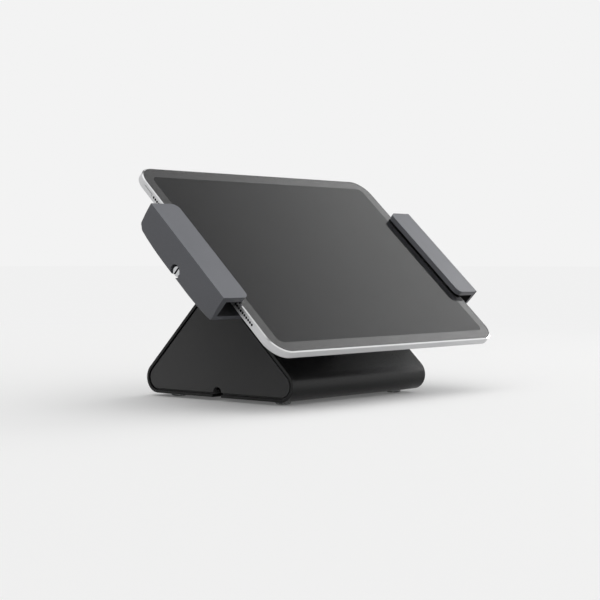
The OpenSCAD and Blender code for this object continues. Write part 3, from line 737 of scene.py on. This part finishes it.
for node, body, rows in SCREW_SETS:
    screws = []
    for spots, length, height in rows:
        screws += copies(sunk_screw(length), [(x, v, height) for x, v in spots])
    screws = merge(screws, node + "_set")
    if node != "ballast_screws":
        to_head(screws)
    fit(screws, body, "fastener_steel", zinc, node)

flat_screw = lathe("flat_screw", [(1.0, -13.3), (1.25, -13.0), (1.25, -7.26), (2.4, -7.26), (2.4, -6.95),
                                  (2.2, COVER_FRONT)], 32)
machine(flat_screw, bar("hex", (0, 0, -7.1), (0, 0, -6), 0.9, 6))
cover_screws = merge(copies(flat_screw, [(x, v, 0) for x, v in POSTS]), "cover_screw_set")
fit(to_head(cover_screws), "stand", "fastener_steel", zinc, "cover_screws")


# Rest pads: four thin moulded rubber pads stuck to the cover, on which the tablet lies.
# Their rims are rounded and their faces slightly pebbled.
PAD_SPOTS = [(x, v, 0) for x in (-68.15, 68.15) for v in (-22, 22)]
pad = round_plate("pad", (-15, -6, -6.78), (15, 6, -6.0), 3, 8)
pads = merge(copies(pad, PAD_SPOTS), "rest_pad_set")
soften(pads, 0.25, 3)
fit(to_head(pads), "stand", "black_rubber", black_rubber, "rest_pads")


# Guide blocks and lead nut: acetal blocks that guide the rods, and a brass nut for the
# screw. They sit closed inside the tray and keep the frame's own solids.
acetal = coat("white_acetal", (0.70, 0.70, 0.68), (0.80, 0.80, 0.78), 700, (0.34, 0.46), (0.05, 0.02))
brass = coat("nut_brass", (0.55, 0.36, 0.14), (0.68, 0.48, 0.22),
             900, (0.26, 0.4), (0.06, 0.02), metal=1, stretch=(1, 5, 5))
skin_node("guide_block_outer", acetal)
skin_node("guide_block_inner", acetal)
skin_node("lead_nut", brass)


# Fixed arm: a flat bar of zinc-plated steel that joins the right jaw to the tray.
# It lies in a pocket of both and is held from behind by eight screws.
ARM_V = 20
fixed_arm = round_plate("right_arm", (68.15, -ARM_V, -16.18), (133.95, ARM_V, -11.8), 1.2, 4)
soften(fixed_arm, 0.3)
fit(to_head(fixed_arm), "stand", "plain_steel", zinc, "fixed_arm")


# Jaws: two grey-coated aluminium channels that grip the tablet's short sides. A lip holds
# its front, the outer wall leans in towards the back, and a thick plate lies behind.
JAW_IN = 118.15
JAW_OUT = 141.95
PLATE_IN = 100.15
LIP_LOW = 0.85
LIP_TOP = 4.75
PLATE_TOP = -11.6
JAW_HALF = 44.5
WALL_CURVE = 0.0046
WALL_STEPS = (2, 7, 12, 17, 22)
LIP_ROUND = 5
HEEL_ROUND = 1.0
UPPER_LEAN = 0.9
CROWN_FLAT = 13
CROWN = 0.0026
UPPER_ROUND = 5
LOWER_ROUND = 1.5
CROWN_STEPS = 8
RIGHT_WALL = 3
LEFT_WALL = 5
JAW_EDGE = 0.4
HEAD_HOLE_R = 4.6
grey_coat = coat("grey_fine_coat", (0.142, 0.1465, 0.163), (0.179, 0.1845, 0.2025),
                 1500, (0.40, 0.50), (0.10, 0.03))
# Painted shade: the faces inside each jaw's channel get this near-black colour in place of the shade in the
# hollow; the metal there has the same grey coat as outside.
jaw_channel_painted_shade = coat("jaw_channel_painted_shade", (0.030, 0.030, 0.032), (0.050, 0.050, 0.053),
                    2400, (0.7, 0.85), (0.2, 0.03), level=0.2)


def crown_back(jaw):
    """Bows the back in towards both ends, leans the upper end out and rounds the end corners."""
    alone(jaw)
    bpy.ops.object.mode_set(mode="EDIT")
    step = (JAW_HALF - CROWN_FLAT) / CROWN_STEPS
    steps = [CROWN_FLAT + i * step for i in range(CROWN_STEPS)]
    for v in [-place for place in steps] + steps:
        bpy.ops.mesh.select_all(action="SELECT")
        bpy.ops.mesh.bisect(plane_co=(0, v * MM, 0), plane_no=(0, 1, 0))
    mesh = bmesh.from_edit_mesh(jaw.data)
    for vert in mesh.verts:
        past = max(0, abs(vert.co.y) / MM - CROWN_FLAT)
        if vert.co.z < (JAW_BACK + 1) * MM:
            vert.co.z += CROWN * past * past * MM
        elif vert.co.y > (JAW_HALF - 0.1) * MM:
            vert.co.y += UPPER_LEAN * MM
    bmesh.update_edit_mesh(jaw.data)
    done()
    for end, radius in ((JAW_HALF, UPPER_ROUND), (-JAW_HALF, LOWER_ROUND)):
        def end_corner(edge, end=end):
            return all(abs(vert.co.y - end * MM) < 1e-6 and vert.co.z < -10 * MM for vert in edge.verts)
        round_edges(jaw, end_corner, radius, 8)


def make_jaw(name, side, wall):
    """One jaw in the head's own frame, on the side given by its sign."""
    jaw = block(name, (PLATE_IN, -JAW_HALF, JAW_BACK), (JAW_OUT, JAW_HALF, LIP_TOP))
    jaw.data.materials.append(grey_coat)
    crown_back(jaw)
    channel = block("channel", (PLATE_IN - 5, -60, PLATE_TOP), (JAW_OUT - wall, 60, LIP_LOW))
    # The channel's faces take the painted shade colour.
    channel.data.materials.append(jaw_channel_painted_shade)
    machine(jaw, channel)
    machine(jaw, block("lip_end", (PLATE_IN - 5, -60, PLATE_TOP + 1), (JAW_IN, 60, LIP_TOP + 5)))
    alone(jaw)
    bpy.ops.object.mode_set(mode="EDIT")
    for depth in WALL_STEPS:
        lean = math.atan(2 * WALL_CURVE * depth)
        bpy.ops.mesh.select_all(action="SELECT")
        wall_x = JAW_OUT - WALL_CURVE * depth ** 2
        bpy.ops.mesh.bisect(plane_co=(wall_x * MM, 0, (LIP_TOP - depth) * MM),
                            plane_no=(math.cos(lean), 0, -math.sin(lean)), use_fill=True, clear_outer=True)
    bpy.ops.mesh.select_all(action="SELECT")
    bpy.ops.mesh.remove_doubles(threshold=1e-6)
    bpy.ops.mesh.dissolve_limited(angle_limit=math.radians(0.3))
    done()

    def heel(edge):
        a, b = (vert.co / MM for vert in edge.verts)
        if abs(a.y - b.y) < 0.05 or len(edge.link_faces) != 2:
            return False
        at_back = all(p.z < PLATE_TOP - 1 and p.x > JAW_OUT - 5 for p in (a, b))
        return at_back and edge.calc_face_angle() > math.radians(60)

    round_edges(jaw, heel, HEEL_ROUND, 4)

    def lip_corner(edge):
        a, b = (vert.co / MM for vert in edge.verts)
        on_edge = all(abs(p.x - JAW_IN) < 0.01 and p.z > 0 for p in (a, b))
        return on_edge and abs(a.z - b.z) > 2 and abs(a.y - b.y) < 1

    round_edges(jaw, lip_corner, LIP_ROUND, 10)
    jaw.scale = (side, 1, 1)
    settle(jaw)
    alone(jaw)
    bpy.ops.object.mode_set(mode="EDIT")
    bpy.ops.mesh.select_all(action="SELECT")
    bpy.ops.mesh.normals_make_consistent(inside=False)
    done()
    return jaw


jaw_right = make_jaw("right_jaw", 1, RIGHT_WALL)
machine(jaw_right, block("arm_pocket", (95, -ARM_V - 0.1, -16.2), (134.05, ARM_V + 0.1, -10)))
for tool in countersinks(ARM_JAW_SPOTS, JAW_BACK):
    machine(jaw_right, tool)
soften(jaw_right, JAW_EDGE, 3)
fit(to_head(jaw_right), "stand", "grey_aluminium", None, "jaw_right")

jaw_left = make_jaw("left_jaw", -1, LEFT_WALL)
pockets = [block("block_pocket", (-133.05, -30.1, -16.2), (-118.85, 30.1, -10)),
           block("screw_way", (-120, -4, -16.2), (-95, 4, -10)),
           block("collar_way", (-119, -3.1, -17), (-113.95, 3.1, -11.6))]
pockets += [block("rod_way", (-120, v - 3.4, -16.2), (-95, v + 3.4, -10)) for v in (-ROD_V, ROD_V)]
pockets.append(bar("head_hole", (-145, 0, SCREW_N), (-132.95, 0, SCREW_N), HEAD_HOLE_R))
pockets += countersinks(SLIDER_SPOTS, JAW_BACK)
for tool in pockets:
    machine(jaw_left, tool)
soften(jaw_left, JAW_EDGE, 3)
fit(to_head(jaw_left), "jaw", "grey_aluminium", None, "jaw_left")


# Lip pads and buffers: black rubber strips under each lip and soft blocks beside the
# tablet's short edges, glued inside the jaws.
PAD_RUN = (118.75, 124.15)
PAD_V = 38.5
BUFFER_L = 20
BUFFER_PLACES = [(0, v, 0) for v in (-30, 10)]
for side, node, body in ((1, "lip_pad_right", "stand"), (-1, "lip_pad_left", "jaw")):
    left, right = sorted(side * x for x in PAD_RUN)
    pad = round_plate(node + "_strip", (left, -PAD_V, 0.2), (right, PAD_V, 0.83), 1.5, 6)
    soften(pad, 0.2, 3)
    fit(to_head(pad), body, "black_rubber", black_rubber, node)
for left, right, node, body in ((124.95, 138.93, "buffer_right", "stand"),
                                (-136.93, -124.25, "buffer_left", "jaw")):
    buffer = round_plate("buffer", (left, 0, -5.5), (right, BUFFER_L, -0.4), 1.6, 6)
    pair = merge(copies(buffer, BUFFER_PLACES), node + "_pair")
    soften(pair, 0.5, 3)
    fit(to_head(pair), body, "black_rubber", black_rubber, node)


# Slider block and guide rods: a milled block in the left jaw and two ground steel rods
# pressed into it, which run in the tray's guide blocks.
milled = coat("milled_aluminium", (0.52, 0.53, 0.54), (0.64, 0.65, 0.66),
              420, (0.3, 0.44), (0.08, 0.02), metal=1, stretch=(1, 9, 1))
slider = block("jaw_slider", (-132.95, -30, -16.18), (-118.95, 30, -8.2))
bores = [bar("bore", (-130.95, v, ROD_N), (-117, v, ROD_N), 3.02, 32) for v in (-ROD_V, ROD_V)]
bores.append(bar("bore", (-135, 0, SCREW_N), (-117, 0, SCREW_N), 2.05, 32))
machine(slider, merge(bores, "bores"))
soften(slider, 0.35)
fit(to_head(slider), "jaw", "bare_aluminium", milled, "slider_block")

ground_steel = coat("ground_steel", (0.60, 0.61, 0.63), (0.70, 0.71, 0.72),
                    520, (0.12, 0.2), (0.04, 0.01), metal=1, stretch=(0.2, 1, 1))
rod = lathe("rod", [(2.4, 0), (2.8, 0.2), (3.0, 0.6), (3.0, 117.18), (2.8, 117.58), (2.4, 117.78)])
rods = copies(rod, [(-130.93, v, ROD_N) for v in (-ROD_V, ROD_V)], "X")
rods = merge(rods, "guide_rod_pair")
fit(to_head(rods), "jaw", "bright_steel", ground_steel, "guide_rods")


# Lead screw and collar: a bright turned screw whose slotted head sits in the left jaw's
# hole. Turning it draws the jaw in or out, and the collar keeps it in the slider block.
SCREW_END = -137.65
COLLAR_END = -118.65
SLOT_HALF = 0.6
SLOT_FLOOR = 0.2
THREAD_FROM = 20
THREAD_R = 2.0
THREAD_DEEP = 0.44
THREAD_FOOT = 1.1
THREAD_CREST = 0.35
THREAD_TURNS = 38
PITCH = 2
bright_steel = coat("bright_turned_steel", (0.46, 0.47, 0.48), (0.58, 0.59, 0.60),
                    800, (0.16, 0.26), (0.05, 0.01), metal=1)
# Painted shade: the faces of the screw's slot are coloured near-black to stand in for the shade deep in the
# slot.
screw_slot_painted_shade = coat("screw_slot_painted_shade", (0.020, 0.020, 0.021), (0.040, 0.040, 0.041),
                  1500, (0.6, 0.75), (0.1, 0.02), level=0.2)
screw_head = lathe("lead_screw", [(2.95, -1.4), (3.3, -1.28), (3.5, -1.0), (3.5, 4.1), (3.2, 4.4), (2.0, 4.4),
                                  (2.0, 19.0), (1.65, 19.4), (1.65, 97.4), (1.3, 98.0)])
screw_head.data.materials.append(bright_steel)
slot = block("slot", (-6, -SLOT_HALF, -3), (6, SLOT_HALF, SLOT_FLOOR))
# The slot's faces take the painted shade colour.
slot.data.materials.append(screw_slot_painted_shade)
machine(screw_head, slot)
soften(screw_head, 0.15)
bpy.ops.object.select_all(action="DESELECT")
bpy.ops.mesh.primitive_plane_add(size=1, location=((THREAD_R - THREAD_DEEP / 2) * MM, 0, THREAD_FROM * MM),
                                 rotation=(math.pi / 2, 0, 0))
thread = bpy.context.object
thread.scale = (THREAD_DEEP * MM, THREAD_FOOT * MM, 1)
settle(thread, "thread")
bpy.ops.object.mode_set(mode="EDIT")
bpy.ops.mesh.select_all(action="SELECT")
bpy.ops.mesh.delete(type="ONLY_FACE")
done()
pick(thread, "EDGE", lambda edge: min(vert.co.x for vert in edge.verts) > (THREAD_R - 0.1) * MM)
bpy.ops.transform.resize(value=(1, 1, THREAD_CREST), center_override=(THREAD_R * MM, 0, THREAD_FROM * MM))
done()
alone(thread)
bpy.ops.object.modifier_add(type="SCREW")
step = thread.modifiers[-1]
step.axis = "Z"
step.steps = step.render_steps = 24
step.screw_offset = PITCH * MM
step.iterations = THREAD_TURNS
step.use_merge_vertices = False
bpy.ops.object.modifier_apply(modifier=step.name)
mend(thread)
lead_screw = merge([screw_head, thread], "lead_screw_turned")
lay(lead_screw, (SCREW_END, 0, SCREW_N), "X")
fit(to_head(lead_screw), "screw", "bright_steel", None, "lead_screw")

collar = lathe("screw_stop_collar", [(2.02, 0), (2.6, 0), (2.9, 0.3), (2.9, 3.7), (2.6, 4.0), (2.02, 4.0)],
               48, True)
lay(collar, (COLLAR_END, 0, SCREW_N), "X")
fit(to_head(collar), "screw", "bright_steel", bright_steel, "screw_collar")


# Tablet shell: a one-piece tray milled from aluminium and bead blasted, with a bright
# narrow chamfer round the glass, rows of sound holes, slots for the keys and a port.
TABLET_X = 0.35
TABLET_V = -0.5
HALF_W = 124.3
HALF_H = 89.25
THICK = 5.9
TABLET_ROUND = 15
RIM = 0.9
CHAMFER = 0.5
BACK_ROUND = 0.8
SOUND_R = 0.88
SOUND_PITCH = 2.17
SOUND_COUNT = 11
SOUND_V = 50.2
SOUND_N = -2.9
SEAT_DEEP = 1.82
SEAT_WIDE = 2.6
HOLLOW_DEEP = 3.08
CORNER_STEPS = 28
KEY_LOW = -3.9
KEY_HIGH = -2.3
KEY_HALF = 5
SLIT = 0.15
SLOT_ROUND = 0.9
SLOT_DEEP = 4.5
POWER_V = 68.4
VOLUME_X = (-91.5, -78.5)
LENS = (-107.3, 72.25)
LENS_HOLE_R = 6.02
blasted = coat("bead_blasted_aluminium", (0.545, 0.548, 0.555), (0.605, 0.608, 0.615),
               5200, (0.40, 0.48), (0.06, 0.015), metal=1)
cut_edge = coat("bright_cut_edge", (0.79, 0.795, 0.80), (0.85, 0.855, 0.86),
                900, (0.05, 0.08), (0.02, 0.01), metal=1)
# Painted shade: the walls of the sound holes are coloured near-black so that the holes read as dark dots, in
# place of the shade in their depth.
sound_hole_painted_shade = coat("painted_shade_in_sound_holes", (0.006, 0.006, 0.006), (0.012, 0.012, 0.012),
                  4000, (0.7, 0.8), (0.1, 0.02), level=0.1)


def on_tablet(x, v, n):
    """A place on the tablet, told in the head's own frame."""
    return (x + TABLET_X, v + TABLET_V, n)


def back_outline(edge):
    """True for an edge of the flat back's outline."""
    return all(abs(vert.co.z + THICK * MM) < 1e-6 for vert in edge.verts)


shell = round_plate("tablet_case", on_tablet(-HALF_W, -HALF_H, -THICK), on_tablet(HALF_W, HALF_H, -CHAMFER),
                    TABLET_ROUND, CORNER_STEPS)
round_edges(shell, back_outline, BACK_ROUND, 5)
pick(shell, "FACE", lambda face: face.normal.z > 0.99)
bpy.ops.mesh.inset(thickness=RIM * MM, depth=CHAMFER * MM)
bpy.ops.mesh.extrude_region_move(TRANSFORM_OT_translate={"value": (0, 0, -SEAT_DEEP * MM)})
bpy.ops.mesh.inset(thickness=SEAT_WIDE * MM)
bpy.ops.mesh.extrude_region_move(TRANSFORM_OT_translate={"value": (0, 0, -HOLLOW_DEEP * MM)})
done()
shell.data.materials.append(blasted)
shell.data.materials.append(cut_edge)
for face in shell.data.polygons:
    if 0.5 < face.normal.z < 0.9:
        face.material_index = 1
sounds = []
for edge_x in (-HALF_W, HALF_W):
    for middle in (-SOUND_V, SOUND_V):
        for i in range(SOUND_COUNT):
            v = middle + (i - SOUND_COUNT // 2) * SOUND_PITCH
            start, end = (on_tablet(edge_x + out, v, SOUND_N) for out in (-5, 5))
            sounds.append(bar("sound_hole", start, end, SOUND_R, 16))
sounds = merge(sounds, "sound_holes")
# The holes' walls take the painted shade colour.
sounds.data.materials.append(sound_hole_painted_shade)
machine(shell, sounds)


def pill(name, low, high, axis, radius):
    """A bar of the given corners whose edges along one axis are rounded, in mm."""
    part = block(name, low, high)

    def runs(edge):
        a, b = (vert.co for vert in edge.verts)
        return all(abs(a[i] - b[i]) < 1e-7 for i in range(3) if i != axis)

    round_edges(part, runs, radius, 6)
    return part


slot_half = KEY_HALF + SLIT
slots = [pill("power_slot", on_tablet(-HALF_W - 1, POWER_V - slot_half, KEY_LOW - SLIT),
              on_tablet(-HALF_W + SLOT_DEEP, POWER_V + slot_half, KEY_HIGH + SLIT), 0, SLOT_ROUND)]
slots += [pill("volume_slot", on_tablet(x - slot_half, HALF_H - SLOT_DEEP, KEY_LOW - SLIT),
               on_tablet(x + slot_half, HALF_H + 1, KEY_HIGH + SLIT), 1, SLOT_ROUND) for x in VOLUME_X]
slots.append(pill("port_slot", on_tablet(HALF_W - SLOT_DEEP, -4.55, -4.5), on_tablet(HALF_W + 1, 4.55, -2.2),
                  0, 1.1))
machine(shell, merge(slots, "slots"))
machine(shell, bar("lens_hole", on_tablet(*LENS, -8), on_tablet(*LENS, -2), LENS_HOLE_R, 64))
fit(to_head(shell), "tablet", "tablet_aluminium", None, "tablet_shell")


# Cover glass: a clear flat sheet bonded into the shell's rim, polished on both faces.
# Faint wipe marks change its clearness a little.
GLASS_W = HALF_W - RIM - 0.05
GLASS_H = HALF_H - RIM - 0.05
GLASS_T = 0.8
GLASS_ROUND = TABLET_ROUND - RIM

clear_glass = bpy.data.materials.new("clear_cover_glass")
clear_glass.use_nodes = True
tree = clear_glass.node_tree
shader = tree.nodes["Principled BSDF"].inputs
shader["Roughness"].default_value = 0
shader["Transmission Weight"].default_value = 1
shader["IOR"].default_value = 1.5
marks = noise(tree, tree.nodes.new("ShaderNodeTexCoord").outputs["Object"], 30, 4)
wiped = mix(tree, marks, (0.95, 0.95, 0.95, 1), (1, 1, 1, 1))
tree.links.new(wiped, shader["Base Color"])

glass = round_plate("cover_glass", on_tablet(-GLASS_W, -GLASS_H, -GLASS_T), on_tablet(GLASS_W, GLASS_H, 0),
                    GLASS_ROUND, CORNER_STEPS)
soften(glass, 0.12)
fit(to_head(glass), "tablet", "cover_glass", clear_glass, "tablet_glass")


# Border and display: a black printed border under the glass, and the dark display panel
# inside it, which is coated against reflections.
SCREEN_W = 115
SCREEN_H = 79.95
SCREEN_ROUND = 5
SCREEN_GAP = 0.05
PRINT_N = -0.82
BORDER_BACK = -1.8
SCREEN_BACK = -2.6
EYE_X = -118.8
EYE_R = 1.62
border_black = coat("black_border_print", (0.010, 0.010, 0.011), (0.014, 0.014, 0.015),
                    900, (0.03, 0.06), (0.0, 0.01))
border_black.node_tree.nodes["Principled BSDF"].inputs["IOR"].default_value = 3.25
panel_dark = coat("display_dark", (0.004, 0.004, 0.005), (0.006, 0.006, 0.007),
                  1200, (0.3, 0.4), (0.0, 0.01), level=0)
border = round_plate("black_border", on_tablet(-GLASS_W, -GLASS_H, BORDER_BACK),
                     on_tablet(GLASS_W, GLASS_H, PRINT_N), GLASS_ROUND, CORNER_STEPS)
window_w = SCREEN_W + SCREEN_GAP
window_h = SCREEN_H + SCREEN_GAP
machine(border, round_plate("window", on_tablet(-window_w, -window_h, -4), on_tablet(window_w, window_h, 1),
                            SCREEN_ROUND))
machine(border, bar("eye_hole", on_tablet(EYE_X, 0, -4), on_tablet(EYE_X, 0, 1), EYE_R, 32))
fit(to_head(border), "tablet", "black_border", border_black, "tablet_bezel")
display = round_plate("display", on_tablet(-SCREEN_W, -SCREEN_H, SCREEN_BACK),
                      on_tablet(SCREEN_W, SCREEN_H, PRINT_N), SCREEN_ROUND)
fit(to_head(display), "tablet", "display_panel", panel_dark, "tablet_display")


# Inside of the tablet: two wrapped battery cells, a green circuit board, four sound boxes
# and the front camera. They are closed in and keep the frame's own solids.
battery_wrap = coat("battery_wrap", (0.05, 0.05, 0.052), (0.08, 0.08, 0.083), 600, (0.4, 0.55), (0.1, 0.02))
board_green = coat("board_green", (0.01, 0.07, 0.035), (0.03, 0.14, 0.07), 300, (0.35, 0.5), (0.1, 0.02))
sound_box = coat("speaker_moulding", (0.025, 0.025, 0.026), (0.04, 0.04, 0.042),
                 1800, (0.5, 0.65), (0.1, 0.02))
lens_black = coat("lens_black", (0.006, 0.006, 0.009), (0.012, 0.012, 0.018),
                  800, (0.04, 0.08), (0.0, 0.01))
skin_node("tablet_battery", battery_wrap)
skin_node("tablet_board", board_green)
skin_node("tablet_speakers", sound_box)
skin_node("front_camera", lens_black)


# Rear camera: a round blasted ring that stands proud of the tablet's back, with a dark
# lens sunk in it.
LENS_R = 4.8
RING_N = -2.9
ring = lathe("camera_ring", [(6.0, 0), (6.0, 4.3), (5.75, 4.65), (5.3, 4.8), (4.7, 4.8), (4.5, 4.55),
                             (3.4, 4.5), (3.2, 4.1), (2.0, 3.9), (0.6, 3.95)], 64)
ring.data.materials.append(blasted)
ring.data.materials.append(lens_black)
for face in ring.data.polygons:
    far = max(ring.data.vertices[i].co.xy.length for i in face.vertices)
    face.material_index = 1 if far < LENS_R * MM else 0
lay(ring, on_tablet(*LENS, RING_N), "-Z")
fit(to_head(ring), "tablet", "lens_black", None, "rear_camera")


# Charging port: a drawn steel liner in the right short edge, with a thin tongue inside.
# It is set in from the tablet's hollow and stops just short of the edge.
PORT_HALF = 4.5
PORT_WALL = 0.4
PORT_DEEP = 6.2
port_steel = coat("port_steel", (0.36, 0.36, 0.38), (0.46, 0.46, 0.48),
                  900, (0.28, 0.4), (0.05, 0.01), metal=1)
port = pill("port_liner", on_tablet(HALF_W - 7.5, -PORT_HALF, -4.45),
            on_tablet(HALF_W - 0.3, PORT_HALF, -2.25), 0, 1.05)
recess(port, lambda face: face.normal.x > 0.9, PORT_WALL, (-PORT_DEEP, 0, 0))
tongue = block("port_tongue", on_tablet(HALF_W - 6.6, -3.0, -3.6), on_tablet(HALF_W - 1.5, 3.0, -3.1))
machine(port, tongue, "UNION")
fit(to_head(port), "tablet", "port_steel", port_steel, "charge_port")


# Keys: three small milled bars, one for power in the left edge and two for volume in the
# upper edge. Each stands a little proud and is pressed into its slot.
KEY_PROUD = 0.3
KEY_DEEP = 3
KEY_ROUND = 0.75
keys = [("power_key", "power_button", "power", 0, (-HALF_W - KEY_PROUD, POWER_V - KEY_HALF, KEY_LOW),
         (-HALF_W + KEY_DEEP, POWER_V + KEY_HALF, KEY_HIGH))]
for x, node, body in zip(VOLUME_X, ("volume_up", "volume_down"), ("vol_up", "vol_down")):
    keys.append((node + "_key", node, body, 1, (x - KEY_HALF, HALF_H - KEY_DEEP, KEY_LOW),
                 (x + KEY_HALF, HALF_H + KEY_PROUD, KEY_HIGH)))
for name, node, body, axis, low, high in keys:
    key = pill(name, on_tablet(*low), on_tablet(*high), axis, KEY_ROUND)
    soften(key, 0.12)
    fit(to_head(key), body, "tablet_aluminium", blasted, node)
